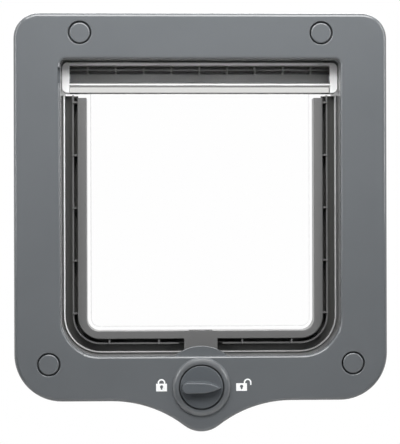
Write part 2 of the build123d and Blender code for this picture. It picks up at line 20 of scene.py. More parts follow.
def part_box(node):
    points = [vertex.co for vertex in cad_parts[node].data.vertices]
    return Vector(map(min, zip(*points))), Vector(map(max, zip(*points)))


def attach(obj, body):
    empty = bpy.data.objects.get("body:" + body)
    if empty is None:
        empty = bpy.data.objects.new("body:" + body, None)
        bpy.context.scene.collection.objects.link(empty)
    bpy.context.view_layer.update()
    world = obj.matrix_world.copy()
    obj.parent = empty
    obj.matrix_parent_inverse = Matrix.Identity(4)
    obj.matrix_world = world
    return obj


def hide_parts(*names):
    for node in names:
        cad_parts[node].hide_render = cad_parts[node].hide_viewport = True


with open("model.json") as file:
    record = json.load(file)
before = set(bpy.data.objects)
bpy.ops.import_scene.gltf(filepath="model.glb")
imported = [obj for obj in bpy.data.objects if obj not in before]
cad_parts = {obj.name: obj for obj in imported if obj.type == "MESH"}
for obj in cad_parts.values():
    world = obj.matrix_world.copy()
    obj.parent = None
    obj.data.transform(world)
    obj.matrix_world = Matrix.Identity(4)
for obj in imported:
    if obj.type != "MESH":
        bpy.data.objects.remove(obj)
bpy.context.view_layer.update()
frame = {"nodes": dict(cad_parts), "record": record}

PHOTO_WIDTH = 400
MM = 0.001
# Points that lie closer than this, in millimetres, become one
WELD = 0.0001
# Keeps a division from meeting zero
TINY = 1e-9
WHITE = "#ffffff"
# The side of a piece that the room sees
ROOMWARDS = (0, -1, 0)
# Sockets of a Mix node, by number because their names repeat
VALUE_A, VALUE_B, COLOUR_A, COLOUR_B = 2, 3, 6, 7
MIXED_VALUE, MIXED_COLOUR = 0, 2

Tree = bpy.types.NodeTree
Socket = bpy.types.NodeSocket
Settings = dict[str | int, Any]
Links = dict[str | int, Socket]

log = logging.getLogger("cat_flap")


def linear(colour: str) -> tuple[float, float, float, float]:
    """Turn an sRGB hex colour into linear light, by the sRGB standard's straight toe and its curve above.

    Args:
        colour: six hex digits after a hash sign.

    Returns:
        Linear red, green and blue with an alpha of 1.
    """
    channels = np.array([int(colour[start:start + 2], 16) for start in (1, 3, 5)]) / 255
    toe = channels / 12.92
    curve = ((channels + 0.055) / 1.055) ** 2.4
    red, green, blue = np.where(channels <= 0.04045, toe, curve)
    return (float(red), float(green), float(blue), 1.0)


def per_millimetre(size: float) -> float:
    """Texture scale at which one feature of a pattern spans this many millimetres."""
    return 1 / (size * MM)


def add_node(
    tree: Tree, kind: str, settings: Settings | None = None, links: Links | None = None
) -> bpy.types.Node:
    """Add one node with its settings and links.

    Args:
        tree: node tree that gets the node.
        kind: Blender's type name of the node.
        settings: values by the name of a property, or by the name or number of an input socket.
        links: output sockets by the name or number of the input socket that they feed.

    Returns:
        The new node.
    """
    node = tree.nodes.new(kind)
    for key, value in (settings or {}).items():
        if isinstance(key, str) and key in node.bl_rna.properties:
            setattr(node, key, value)
        else:
            node.inputs[key].default_value = value
    for key, source in (links or {}).items():
        tree.links.new(source, node.inputs[key])
    return node


def new_material(name: str) -> tuple[bpy.types.Material, Tree]:
    """Make an empty node material.

    Args:
        name: plain name of the real material.

    Returns:
        The material and its emptied node tree.
    """
    material = bpy.data.materials.new(name)
    material.use_nodes = True
    material.node_tree.nodes.clear()
    return material, material.node_tree


class Along(Enum):
    """Direction in which a place on a piece is measured: to the right, to either side, or up."""

    RIGHT = "right"
    ASIDE = "aside"
    UP = "up"


@dataclass(frozen=True)
class Thinning:
    """Stretch, in millimetres, over which a painted tone grows from a share of itself to the whole."""

    along: Along
    start: float
    end: float
    share: float


@dataclass(frozen=True)
class PaintedDepthTone:
    """A band of painted light and shade: colour on the surfaces at some depths, in millimetres behind the
    door face, that face the room.
    """

    front: float
    back: float
    colour: str
    facing: float
    thinnings: tuple[Thinning, ...] = ()

    def spread(self, tree: Tree, place: Socket, colour: Socket) -> Socket:
        """Lay the painted light and shade on the plastic.

        Args:
            tree: node tree of the material.
            place: Object coordinates.
            colour: colour of the plastic elsewhere.

        Returns:
            Socket of the colour with the tone in it.
        """
        axes = add_node(tree, "ShaderNodeSeparateXYZ", links={"Vector": place}).outputs
        distance = {Along.RIGHT: axes["X"], Along.UP: axes["Z"]}
        normal = add_node(tree, "ShaderNodeNewGeometry").outputs["Normal"]
        roomwards = add_node(
            tree, "ShaderNodeVectorMath", {"operation": "DOT_PRODUCT", 1: ROOMWARDS}, {0: normal},
        ).outputs["Value"]
        faces_room = add_node(
            tree, "ShaderNodeMath", {"operation": "GREATER_THAN", 1: self.facing}, {0: roomwards},
        ).outputs["Value"]
        middle, reach = (self.front + self.back) / 2 * MM, (self.back - self.front) / 2 * MM
        at_depth = add_node(
            tree, "ShaderNodeMath", {"operation": "COMPARE", 1: middle, 2: reach}, {0: axes["Y"]},
        ).outputs["Value"]
        share = add_node(
            tree, "ShaderNodeMath", {"operation": "MULTIPLY"}, {0: at_depth, 1: faces_room},
        ).outputs["Value"]
        for thin in self.thinnings:
            left = add_node(
                tree, "ShaderNodeMapRange",
                {"From Min": thin.start * MM, "From Max": thin.end * MM, "To Min": thin.share},
                {"Value": distance[thin.along]},
            ).outputs["Result"]
            share = add_node(
                tree, "ShaderNodeMath", {"operation": "MULTIPLY"}, {0: share, 1: left},
            ).outputs["Value"]
        return add_node(
            tree, "ShaderNodeMix",
            {"data_type": "RGBA", COLOUR_B: linear(self.colour)}, {"Factor": share, COLOUR_A: colour},
        ).outputs[MIXED_COLOUR]


@dataclass(frozen=True)
class MattShadedPatch:
    """Place on the room side, in millimetres across and up, that fingers have made matt, darkened with
    painted shade.
    """

    middle: tuple[float, float]
    reach: tuple[float, float]
    # Painted shade: the darker colour of the patch
    colour: str
    roughness: float
    soft_edge: float = 0.1

    def mask(self, tree: Tree, place: Socket) -> Socket:
        """Mask of the patch, an ellipse with a soft edge.

        Args:
            tree: node tree of the material.
            place: Object coordinates.

        Returns:
            Socket that is 1 in the middle of the patch and 0 outside it.
        """
        across, up = self.reach
        shrink = (1 / (across * MM), 0.0, 1 / (up * MM))
        middle = (self.middle[0] * MM, 0.0, self.middle[1] * MM)
        offset = add_node(
            tree, "ShaderNodeVectorMath", {"operation": "SUBTRACT", 1: middle}, {0: place},
        ).outputs["Vector"]
        scaled = add_node(
            tree, "ShaderNodeVectorMath", {"operation": "MULTIPLY", 1: shrink}, {0: offset},
        ).outputs["Vector"]
        far = add_node(tree, "ShaderNodeVectorMath", {"operation": "LENGTH"}, {0: scaled}).outputs["Value"]
        return add_node(
            tree, "ShaderNodeMapRange", {"From Min": 1.0, "From Max": 1 - self.soft_edge}, {"Value": far},
        ).outputs["Result"]


@dataclass(frozen=True)
class MouldedPlastic:
    """Opaque injection-moulded plastic: a lightly sparked skin that scatters a broad, soft sheen."""

    name: str
    colour: str
    deep_colour: str
    roughness: float
    roughness_spread: float = 0.02
    cloud_size: float = 38.0
    cloud_detail: float = 2.0
    cloud_contrast: float = 0.45
    grain_size: float = 0.9
    grain_detail: float = 3.0
    grain_contrast: float = 0.6
    grain_height: float = 0.002
    grain_strength: float = 0.35
    ior: float = 1.53
    painted_tones: tuple[PaintedDepthTone, ...] = ()
    patches: tuple[MattShadedPatch, ...] = ()

    def material(self) -> bpy.types.Material:
        """Build the material.

        Returns:
            Material whose colour drifts a little over centimetres and whose fine grain is a bump.
        """
        material, tree = new_material(self.name)
        place = add_node(tree, "ShaderNodeTexCoord").outputs["Object"]
        # Flow of the melt: a slow drift between two close greys
        cloud = add_node(
            tree, "ShaderNodeTexNoise",
            {
                "Scale": per_millimetre(self.cloud_size),
                "Detail": self.cloud_detail,
                "Roughness": self.cloud_contrast,
            },
            {"Vector": place},
        ).outputs["Fac"]
        tint = add_node(
            tree, "ShaderNodeMix",
            {"data_type": "RGBA", COLOUR_A: linear(self.deep_colour), COLOUR_B: linear(self.colour)},
            {"Factor": cloud},
        ).outputs[MIXED_COLOUR]
        # Painted light and shade, laid by depth
        for tone in self.painted_tones:
            tint = tone.spread(tree, place, tint)
        # Sparked mould grain, drawn coarser than the real 0.1 mm so that it shows
        grain = add_node(
            tree, "ShaderNodeTexNoise",
            {
                "Scale": per_millimetre(self.grain_size),
                "Detail": self.grain_detail,
                "Roughness": self.grain_contrast,
            },
            {"Vector": place},
        ).outputs["Fac"]
        gloss = add_node(
            tree, "ShaderNodeMapRange",
            {
                "To Min": self.roughness - self.roughness_spread,
                "To Max": self.roughness + self.roughness_spread,
            },
            {"Value": grain},
        ).outputs["Result"]
        # Matt patches, darkened with painted shade
        for patch in self.patches:
            share = patch.mask(tree, place)
            tint = add_node(
                tree, "ShaderNodeMix",
                {"data_type": "RGBA", COLOUR_B: linear(patch.colour)}, {"Factor": share, COLOUR_A: tint},
            ).outputs[MIXED_COLOUR]
            gloss = add_node(
                tree, "ShaderNodeMix", {VALUE_B: patch.roughness}, {"Factor": share, VALUE_A: gloss},
            ).outputs[MIXED_VALUE]
        bump = add_node(
            tree, "ShaderNodeBump",
            {"Strength": self.grain_strength, "Distance": self.grain_height * MM}, {"Height": grain},
        ).outputs["Normal"]
        shader = add_node(
            tree, "ShaderNodeBsdfPrincipled",
            {"IOR": self.ior}, {"Base Color": tint, "Roughness": gloss, "Normal": bump},
        )
        add_node(tree, "ShaderNodeOutputMaterial", links={"Surface": shader.outputs["BSDF"]})
        return material


@dataclass(frozen=True)
class PaintedClearBand:
    """Band of the clear flap, in millimetres from the part's middle, with a colour and clearness of painted
    light and shade.
    """

    along: Along
    start: float
    end: float
    colour: str
    clearness: float


@dataclass(frozen=True)
class ClearPlastic:
    """Clear moulded polystyrene: see-through, with fine lines wherever its edges bend the light.

    Light strays about in the thick places of the header; bands of painted shade make those grey there and
    bands of painted light make them milky.
    """

    name: str
    colour: str
    bands: tuple[PaintedClearBand, ...]
    clearness: float = 1.0
    roughness: float = 0.02
    ior: float = 1.22
    ripple_size: float = 22.0
    ripple_detail: float = 1.0
    ripple_height: float = 0.004
    ripple_strength: float = 0.5

    def material(self) -> bpy.types.Material:
        """Build the material.

        Returns:
            Material that lets light through, with the faint ripple of a moulded sheet.
        """
        material, tree = new_material(self.name)
        place = add_node(tree, "ShaderNodeTexCoord").outputs["Object"]
        axes = add_node(tree, "ShaderNodeSeparateXYZ", links={"Vector": place}).outputs
        aside = add_node(tree, "ShaderNodeMath", {"operation": "ABSOLUTE"}, {0: axes["X"]}).outputs["Value"]
        distance = {Along.ASIDE: aside, Along.UP: axes["Z"]}
        tint: Links = {}
        clearness: Links = {}
        # Each band lays its painted colour and clearness over the clear plastic
        for band in self.bands:
            middle, reach = (band.start + band.end) / 2 * MM, (band.end - band.start) / 2 * MM
            inside = add_node(
                tree, "ShaderNodeMath",
                {"operation": "COMPARE", 1: middle, 2: reach}, {0: distance[band.along]},
            ).outputs["Value"]
            tinted = add_node(
                tree, "ShaderNodeMix",
                {"data_type": "RGBA", COLOUR_A: linear(self.colour), COLOUR_B: linear(band.colour)},
                {"Factor": inside, **tint},
            )
            cleared = add_node(
                tree, "ShaderNodeMix",
                {VALUE_A: self.clearness, VALUE_B: band.clearness}, {"Factor": inside, **clearness},
            )
            tint = {COLOUR_A: tinted.outputs[MIXED_COLOUR]}
            clearness = {VALUE_A: cleared.outputs[MIXED_VALUE]}
        ripple = add_node(
            tree, "ShaderNodeTexNoise",
            {"Scale": per_millimetre(self.ripple_size), "Detail": self.ripple_detail}, {"Vector": place},
        ).outputs["Fac"]
        bump = add_node(
            tree, "ShaderNodeBump",
            {"Strength": self.ripple_strength, "Distance": self.ripple_height * MM}, {"Height": ripple},
        ).outputs["Normal"]
        shader = add_node(
            tree, "ShaderNodeBsdfPrincipled",
            {"Roughness": self.roughness, "IOR": self.ior},
            {"Base Color": tint[COLOUR_A], "Transmission Weight": clearness[VALUE_A], "Normal": bump},
        )
        add_node(tree, "ShaderNodeOutputMaterial", links={"Surface": shader.outputs["BSDF"]})
        return material


@dataclass(frozen=True)
class PlatedSteel:
    """Zinc-plated steel: a cool grey metal, a little cloudy, with a soft reflection."""

    name: str
    colour: str
    deep_colour: str
    roughness: float = 0.32
    roughness_spread: float = 0.08
    bloom_size: float = 2.5
    bloom_detail: float = 3.0

    def material(self) -> bpy.types.Material:
        """Build the material.

        Returns:
            Metal whose tone and gloss vary with the plating's bloom.
        """
        material, tree = new_material(self.name)
        place = add_node(tree, "ShaderNodeTexCoord").outputs["Object"]
        bloom = add_node(
            tree, "ShaderNodeTexNoise",
            {"Scale": per_millimetre(self.bloom_size), "Detail": self.bloom_detail}, {"Vector": place},
        ).outputs["Fac"]
        tint = add_node(
            tree, "ShaderNodeMix",
            {"data_type": "RGBA", COLOUR_A: linear(self.deep_colour), COLOUR_B: linear(self.colour)},
            {"Factor": bloom},
        ).outputs[MIXED_COLOUR]
        gloss = add_node(
            tree, "ShaderNodeMapRange",
            {
                "To Min": self.roughness - self.roughness_spread,
                "To Max": self.roughness + self.roughness_spread,
            },
            {"Value": bloom},
        ).outputs["Result"]
        shader = add_node(
            tree, "ShaderNodeBsdfPrincipled", {"Metallic": 1.0}, {"Base Color": tint, "Roughness": gloss},
        )
        add_node(tree, "ShaderNodeOutputMaterial", links={"Surface": shader.outputs["BSDF"]})
        return material


@dataclass(frozen=True)
class PrintedInk:
    """Pad-printed ink: a thin, even, slightly glossy film with soft pinholes."""

    name: str
    colour: str
    worn_colour: str
    roughness: float = 0.4
    pinhole_size: float = 0.35
    pinhole_detail: float = 2.0
    pinhole_middle: float = 0.3
    pinhole_rim: float = 0.5

    def material(self) -> bpy.types.Material:
        """Build the material.

        Returns:
            Ink that thins a little in fine spots.
        """
        material, tree = new_material(self.name)
        place = add_node(tree, "ShaderNodeTexCoord").outputs["Object"]
        pinholes = add_node(
            tree, "ShaderNodeTexNoise",
            {"Scale": per_millimetre(self.pinhole_size), "Detail": self.pinhole_detail}, {"Vector": place},
        ).outputs["Fac"]
        cover = add_node(
            tree, "ShaderNodeMapRange",
            {"From Min": self.pinhole_middle, "From Max": self.pinhole_rim}, {"Value": pinholes},
        ).outputs["Result"]
        tint = add_node(
            tree, "ShaderNodeMix",
            {"data_type": "RGBA", COLOUR_A: linear(self.worn_colour), COLOUR_B: linear(self.colour)},
            {"Factor": cover},
        ).outputs[MIXED_COLOUR]
        shader = add_node(
            tree, "ShaderNodeBsdfPrincipled", {"Roughness": self.roughness}, {"Base Color": tint},
        )
        add_node(tree, "ShaderNodeOutputMaterial", links={"Surface": shader.outputs["BSDF"]})
        return material


# Slate-grey ABS of the rear frame and the caps: satin and a little blue
SLATE_ABS = MouldedPlastic("slate_grey_abs", "#64676a", "#5e6164", roughness=0.16, ior=1.68)
# The same ABS on the room side, where fingers have made it matt above the knob, with painted shade darkening
# it there
MATT_SHADED_ABS = replace(
    SLATE_ABS, name="slate_grey_abs_matt_shaded",
    patches=(MattShadedPatch(middle=(0.0, -86.0), reach=(11.0, 6.3), colour="#484b4e", roughness=0.6),),
)
# Neutral grey ABS of the channel round the flap. Its rim carries a painted highlight, weaker at the foot and
# on the right, its trenches carry painted shade, less of it at the foot, and its cross rail is lightened with
# painted light
CHANNEL_ABS = MouldedPlastic(
    "neutral_grey_abs", "#6a6a6a", "#646464", roughness=0.3,
    painted_tones=(
        # Painted highlight on the rim's crest, weaker towards the foot and towards the right
        PaintedDepthTone(
            front=4.9, back=5.35, colour=WHITE, facing=0.1,
            thinnings=(
                Thinning(Along.UP, start=-77.0, end=-60.0, share=0.35),
                Thinning(Along.RIGHT, start=72.0, end=0.0, share=0.45),
            ),
        ),
        # Painted shade in the trenches, less of it towards the foot
        PaintedDepthTone(
            front=5.9, back=12.0, colour="#565654", facing=0.1,
            thinnings=(Thinning(Along.UP, start=-77.0, end=-60.0, share=0.3),),
        ),
        # Painted light on the cross rail behind the header
        PaintedDepthTone(front=14.5, back=15.5, colour="#969696", facing=0.9),
    ),
)
# Slate-grey ABS of the knob: darker, and a little duller than the frame
KNOB_ABS = MouldedPlastic("knob_grey_abs", "#5a5e62", "#55595d", roughness=0.26, grain_size=0.7)
# Dark acetal of the parts that slide: waxy and close-grained
SLIDE_ACETAL = MouldedPlastic("dark_acetal", "#5c5d5e", "#555657", roughness=0.34, grain_size=0.6)
# Clear polystyrene of the flap. In the header the foot is tinted grey as painted shade, with a painted shade
# line and a painted highlight line along its inner edge, and the top wall and the cheeks are painted milky
# white as painted light. Its index is low, because its edges show so faintly
CLEAR_STYRENE = ClearPlastic(
    "clear_polystyrene", WHITE,
    bands=(
        # Painted shade: the foot tinted grey
        PaintedClearBand(Along.UP, start=61.0, end=64.9, colour="#dededc", clearness=1.0),
        # Painted shade: a dark line along the foot's inner edge
        PaintedClearBand(Along.UP, start=64.9, end=65.5, colour="#7a7a78", clearness=1.0),
        # Painted highlight: a bright milky line along the foot's inner edge
        PaintedClearBand(Along.UP, start=65.5, end=66.3, colour=WHITE, clearness=0.1),
        # Painted light: the top wall milky white
        PaintedClearBand(Along.UP, start=76.3, end=80.0, colour=WHITE, clearness=0.05),
        # Painted light: the cheeks milky white
        PaintedClearBand(Along.ASIDE, start=69.9, end=80.0, colour=WHITE, clearness=0.1),
    ),
)
# Zinc plating of the screws and pins: a cool, cloudy shine
ZINC_STEEL = PlatedSteel("zinc_plated_steel", "#c3c6c9", "#a9adb1")
# White print of the signs: bright and even
WHITE_INK = PrintedInk("white_pad_print", "#f7f8f8", "#d9dcde")


def grid_faces(rows: int, columns: int, wrap: bool, loop: bool = False) -> np.ndarray:
    """Quads of a grid of points that are numbered row by row.

    Args:
        rows: points along the first parameter.
        columns: points along the second parameter.
        wrap: whether the last column joins the first one.
        loop: whether the last row joins the first one.

    Returns:
        Array of four point numbers for each quad.
    """
    steps = rows if loop else rows - 1
    spans = columns if wrap else columns - 1
    row, column = np.meshgrid(np.arange(steps), np.arange(spans), indexing="ij")
    near, far = row * columns, (row + 1) % rows * columns
    across = (column + 1) % columns
    return np.stack([near + column, near + across, far + across, far + column], axis=-1).reshape(-1, 4)


def new_piece(
    name: str, points: np.ndarray, faces: np.ndarray, material: bpy.types.Material, smooth_angle: float = 35.0
) -> bpy.types.Object:
    """Make an object at the origin from points in millimetres. Points that meet at a pole become one.

    Args:
        name: name of the piece.
        points: array of points, three numbers each.
        faces: array of point numbers, one row for each face.
        material: finish of the whole piece.
        smooth_angle: edges that bend by more than this many degrees stay sharp.

    Returns:
        The new object, linked to the scene.
    """
    mesh = bpy.data.meshes.new(name)
    mesh.from_pydata((points.reshape(-1, 3) * MM).tolist(), [], faces.tolist())
    shell = bmesh.new()
    shell.from_mesh(mesh)
    bmesh.ops.remove_doubles(shell, verts=shell.verts, dist=WELD * MM)
    shell.to_mesh(mesh)
    shell.free()
    mesh.materials.append(material)
    mesh.polygons.foreach_set("use_smooth", np.ones(len(mesh.polygons), bool))
    mesh.set_sharp_from_angle(angle=math.radians(smooth_angle))
    mesh.update()
    piece = bpy.data.objects.new(name, mesh)
    bpy.context.scene.collection.objects.link(piece)
    log.info("built %s", name)
    return piece


def paint(material: bpy.types.Material, *nodes: str) -> None:
    """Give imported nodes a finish.

    Args:
        material: the finish.
        nodes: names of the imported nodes.
    """
    for name in nodes:
        for slot in frame["nodes"][name].material_slots:
            slot.material = material
        log.info("dressed %s in %s", name, material.name)


class Shackle(Enum):
    """Whether a padlock sign shows its bow closed or swung open."""

    CLOSED = "closed"
    OPEN = "open"


@dataclass
class PadlockSign:
    """Small printed padlock on the chin: a body with a keyhole and a bow, as one thin film of ink."""

    shackle: Shackle
    place: tuple[float, float]
    front: float
    ink: bpy.types.Material
    body_width: float = 5.7
    body_height: float = 4.05
    body_angles: int = 128
    keyhole_rise: float = 0.35
    keyhole_radius: float = 0.85
    stem_half_width: float = 0.42
    stem_drop: float = 1.5
    bow_radius: float = 1.65
    bow_stroke: float = 0.75
    bow_leg: float = 0.4
    bow_angles: int = 33
    open_bow_outset: float = 0.35
    open_bow_leg: float = 1.3
    film: float = 0.06

    def film_depth(self) -> np.ndarray:
        """Depths of the film's back, front, front and back, one row each."""
        return self.front + np.array([0, -self.film, -self.film, 0])[:, None]

    def body_points(self) -> tuple[np.ndarray, np.ndarray]:
        """Body of the padlock.

        The film is a closed band round the keyhole. One parameter is the angle about the keyhole, the other
        walks from the rectangle's foot up to its top, in to the keyhole's top, down to its foot and back.
        Along a ray the rectangle ends where the ray meets the nearer of two sides, and the keyhole at a
        circle or, straight below, at the end of a narrow stem. The rays through the four corners are among
        the angles, so that the corners stay sharp.

        Returns:
            Points in millimetres and their quads.
        """
        half = self.body_width / 2
        above = self.body_height / 2 - self.keyhole_rise
        below = self.body_height / 2 + self.keyhole_rise
        corners = np.arctan2([above, above, -below, -below], [half, -half, -half, half])
        even = np.linspace(-math.pi, math.pi, self.body_angles, endpoint=False)
        angle = np.sort(np.concatenate([even, corners]))
        across = np.abs(np.cos(angle)) + TINY
        up = np.abs(np.sin(angle)) + TINY
        reach = np.minimum(half / across, np.where(np.sin(angle) > 0, above, below) / up)
        stem = np.minimum(self.stem_half_width / across, self.stem_drop / up)
        hole = np.where(np.sin(angle) < 0, np.maximum(self.keyhole_radius, stem), self.keyhole_radius)
        rows = np.stack([reach, reach, hole, hole])
        x = rows * np.cos(angle) + self.place[0]
        z = rows * np.sin(angle) + self.place[1] + self.keyhole_rise
        y = self.film_depth() * np.ones_like(angle)
        return np.stack([x, y, z], axis=-1), grid_faces(*x.shape, wrap=True, loop=True)

    def bow_points(self) -> tuple[np.ndarray, np.ndarray]:
        """Bow of the padlock.

        A flat strip is carried along a leg, a half circle and a second leg, and one quad closes each end. The
        open bow stands on the body's right end, and its free leg hangs past the body's corner.

        Returns:
            Points in millimetres and their quads.
        """
        turn = np.linspace(math.pi, 0, self.bow_angles)
        open_bow = self.shackle is Shackle.OPEN
        centre = self.body_width / 2 + self.open_bow_outset if open_bow else 0.0
        free_leg = self.open_bow_leg if open_bow else self.bow_leg
        path_x = np.concatenate([[-self.bow_radius], self.bow_radius * np.cos(turn), [self.bow_radius]])
        path_z = np.concatenate([[-self.bow_leg], self.bow_radius * np.sin(turn), [-free_leg]])
        out_x = np.concatenate([[-1], np.cos(turn), [1]])
        out_z = np.concatenate([[0], np.sin(turn), [0]])
        side = np.array([-1, -1, 1, 1])[:, None] * self.bow_stroke / 2
        x = path_x + side * out_x + centre + self.place[0]
        z = path_z + side * out_z + self.body_height / 2 + self.bow_leg + self.place[1]
        y = self.film_depth() * np.ones_like(path_x)
        rows, columns = x.shape
        first = np.arange(rows) * columns
        ends = np.stack([first, first[::-1] + columns - 1])
        faces = np.concatenate([grid_faces(rows, columns, wrap=False, loop=True), ends])
        return np.stack([x, y, z], axis=-1), faces

    def build(self) -> None:
        """Make the sign and let it ride on the frame."""
        body, body_faces = self.body_points()
        bow, bow_faces = self.bow_points()
        points = np.concatenate([body.reshape(-1, 3), bow.reshape(-1, 3)])
        faces = np.concatenate([body_faces, bow_faces + body.size // 3])
        sign = new_piece(f"padlock_sign_{self.shackle.value}", points, faces, self.ink)
        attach(sign, "frame")


class Head(Enum):
    """Form of a screw's head."""

    PAN = "pan"
    COUNTERSUNK = "countersunk"


class Way(Enum):
    """Direction in which a screw points, as a sign along the depth."""

    REARWARDS = 1
    ROOMWARDS = -1


@dataclass(frozen=True)
class ScrewForm:
    """Sizes of one kind of screw in millimetres, and of its head's face in shares of the head."""

    head: Head
    head_height: float
    shank_radius: float
    pitch: float
    thread_depth: float
    tip_length: float
    tip_share: float = 0.5
    face_share: float = 0.78
    rounding_share: float = 0.45
    arm_reach: float = 0.62
    arm_half_width: float = 0.16
    arm_depth: float = 0.55
    arm_wall: float = 0.3
    arm_middle: float = 1.15


@dataclass
class CrossScrew:
    """Screw with a cross recess and a rolled thread, which stands for one packed screw."""

    node: str
    form: ScrewForm
    way: Way
    steel: bpy.types.Material
    face_rings: int = 15
    rounding_rings: int = 6
    rows_per_turn: int = 8
    angles: int = 48

    def head_rows(self, radius: float, angle: np.ndarray) -> tuple[np.ndarray, np.ndarray]:
        """Outer side of the head, from its middle to its under side.

        Rings about the axis grow from nothing to the rim. Within four arms the face sinks by a depth that
        grows towards the middle, and an arm is where a point lies near the closer of the two cross lines. A
        pan head then rounds over to a short upright rim, and a countersunk one narrows in a cone.

        Args:
            radius: radius of the head.
            angle: angles of the columns.

        Returns:
            Radius and distance from the head's face, one row for each ring.
        """
        form = self.form
        half_width = form.arm_half_width * radius
        face = np.linspace(0, form.face_share, self.face_rings)[:, None] * radius * np.ones_like(angle)
        aside = np.minimum(np.abs(face * np.sin(angle)), np.abs(face * np.cos(angle)))
        wall = np.clip((half_width - aside) / (form.arm_wall * half_width), 0, 1)
        floor = np.clip(form.arm_middle - face / (form.arm_reach * radius), 0, 1)
        sunk = form.arm_depth * form.head_height * wall * floor
        if form.head is Head.PAN:
            bend = np.linspace(0, math.pi / 2, self.rounding_rings + 1)[1:, None]
            rim = radius * (form.face_share + (1 - form.face_share) * np.sin(bend))
            drop = form.rounding_share * form.head_height * (1 - np.cos(bend))
            under = radius
        else:
            rim = np.full((1, 1), radius)
            drop = np.zeros((1, 1))
            under = form.shank_radius
        edge = np.concatenate([rim, np.full((1, 1), under)]) * np.ones_like(angle)
        depth = np.concatenate([drop, np.full((1, 1), form.head_height)]) * np.ones_like(angle)
        return np.concatenate([face, edge]), np.concatenate([sunk, depth])

    def shank_rows(self, length: float, angle: np.ndarray) -> tuple[np.ndarray, np.ndarray]:
        """Threaded shank, from under the head to the tip.

        The radius is the shank's, less a triangle wave of the distance in pitches minus the angle in turns,
        so that each crest climbs one pitch in a turn. It shrinks towards the tip, which a last row closes.

        Args:
            length: length of the whole screw.
            angle: angles of the columns.

        Returns:
            Radius and distance from the head's face, one row for each step.
        """
        form = self.form
        steps = int((length - form.head_height) / form.pitch * self.rows_per_turn)
        along = np.linspace(form.head_height, length, steps)[:, None] * np.ones_like(angle)
        phase = np.mod(along / form.pitch - angle / (2 * math.pi), 1)
        thread = form.shank_radius - form.thread_depth * np.abs(2 * phase - 1)
        taper = np.clip((length - along) / form.tip_length, 0, 1)
        radius = thread * (form.tip_share + (1 - form.tip_share) * taper)
        end = np.ones((1, len(angle)))
        return np.concatenate([radius, 0 * end]), np.concatenate([along, length * end])

    def build(self) -> None:
        """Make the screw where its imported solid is, and let it stand for that."""
        low, high = (np.array(corner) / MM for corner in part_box(self.node))
        middle = (low + high) / 2
        way = self.way.value
        face = low[1] if self.way is Way.REARWARDS else high[1]
        angle = np.linspace(0, 2 * math.pi, self.angles, endpoint=False)
        head_radius, head_depth = self.head_rows((high[0] - low[0]) / 2, angle)
        shank_radius, shank_depth = self.shank_rows(high[1] - low[1], angle)
        radius = np.concatenate([head_radius, shank_radius])
        depth = np.concatenate([head_depth, shank_depth])
        x = middle[0] + radius * np.cos(angle)
        y = face + way * depth
        z = middle[2] - way * radius * np.sin(angle)
        points = np.stack([x, y, z], axis=-1)
        screw = new_piece(f"{self.node}_threaded", points, grid_faces(*radius.shape, wrap=True), self.steel)
        bodies = frame["record"]["behaviour"]["bodies"]
        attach(screw, next(body for body, nodes in bodies.items() if self.node in nodes))
        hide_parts(self.node)


@dataclass
class FrameSet:
    """The two frames that grip the door, with their caps, screws and hinge pins."""

    steel: bpy.types.Material
    corners: tuple[str, ...] = ("top_left", "top_right", "bottom_left", "bottom_right")
    fixing_screw: ScrewForm = ScrewForm(
        Head.PAN, head_height=2.5, shank_radius=1.9, pitch=1.6, thread_depth=0.42, tip_length=1.6,
    )

    def build(self) -> None:
        """Cut the threads and recesses of the fixing screws."""
        for corner in self.corners:
            CrossScrew(f"fixing_screw_{corner}", self.fixing_screw, Way.REARWARDS, self.steel).build()

    def dress(self) -> None:
        """Give the frames, caps and hinge pins their finishes."""
        paint(MATT_SHADED_ABS.material(), "front_frame")
        paint(SLATE_ABS.material(), "rear_frame", *[f"screw_cap_{corner}" for corner in self.corners])
        paint(self.steel, "hinge_pin_left", "hinge_pin_right")


@dataclass
class FlapSet:
    """The clear flap and the channel that it swings in."""

    def dress(self) -> None:
        """Give the flap and its channel their finishes."""
        paint(CLEAR_STYRENE.material(), "flap")
        paint(CHANNEL_ABS.material(), "flap_surround")


@dataclass
class LockSet:
    """The knob, the works behind it and the printed signs beside it."""

    steel: bpy.types.Material
    sign_offset: float = 21.1
    sign_rise: float = -0.2
    knob_screw: ScrewForm = ScrewForm(
        Head.PAN, head_height=1.2, shank_radius=1.2, pitch=0.9, thread_depth=0.28, tip_length=0.7,
    )
    cover_screw: ScrewForm = ScrewForm(
        Head.COUNTERSUNK, head_height=1.0, shank_radius=1.2, pitch=0.9, thread_depth=0.28, tip_length=0.7,
    )

    def build_signs(self) -> None:
        """Print the two padlock signs on the chin, level with the knob."""
        knob_low, knob_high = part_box("lock_knob")
        knob_z = (knob_low.z + knob_high.z) / 2 / MM
        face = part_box("screw_cap_top_left")[0].y / MM
        ink = WHITE_INK.material()
        for side, shackle in ((-1, Shackle.CLOSED), (1, Shackle.OPEN)):
            place = (side * self.sign_offset, knob_z + self.sign_rise)
            PadlockSign(shackle, place, face, ink).build()

    def build_screws(self) -> None:
        """Cut the threads and recesses of the knob's screw and the cover's two screws."""
        CrossScrew("knob_screw", self.knob_screw, Way.ROOMWARDS, self.steel).build()
        for side in ("left", "right"):
            CrossScrew(f"lock_cover_screw_{side}", self.cover_screw, Way.ROOMWARDS, self.steel).build()

    def dress(self) -> None:
        """Give the knob and the works their finishes."""
        paint(KNOB_ABS.material(), "lock_knob")
        paint(SLIDE_ACETAL.material(), "lock_cam", "lock_bolt", "lock_cover")


